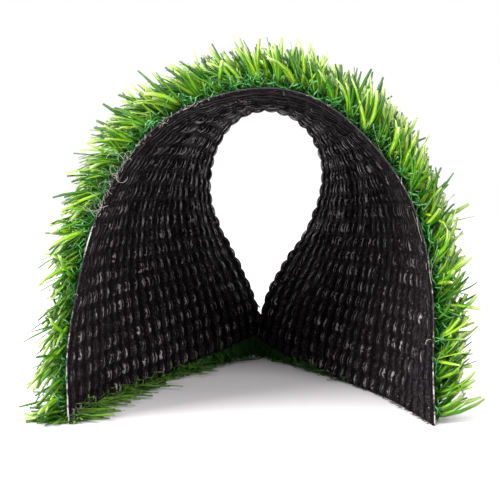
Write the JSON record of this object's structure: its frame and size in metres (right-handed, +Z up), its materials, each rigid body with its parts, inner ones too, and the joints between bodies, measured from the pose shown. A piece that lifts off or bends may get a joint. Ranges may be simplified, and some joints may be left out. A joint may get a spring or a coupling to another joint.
{
  "type": "bent sheet of artificial turf",
  "caption": "Cut sheet of artificial turf bent into a standing arch: black stitched backing inside, green blades outside, its legs closing to a teardrop at the back.",
  "frame": {"origin": "on the floor, below the middle of the whole bent sheet", "axes": "+Z up, -Y towards the wide mouth of the arch, +X to the right as seen into that mouth"},
  "size_m": [0.1496, 0.2118, 0.1435],
  "materials": {
    "backing": "black latex coating over woven cloth and rows of stitches, slightly glossy",
    "pile": "tufted plastic yarn, lime and field green blades over curled emerald thatch"
  },
  "bodies": {
    "root": {"backing": "backing", "pile": "pile"}
  },
  "joints": []
}
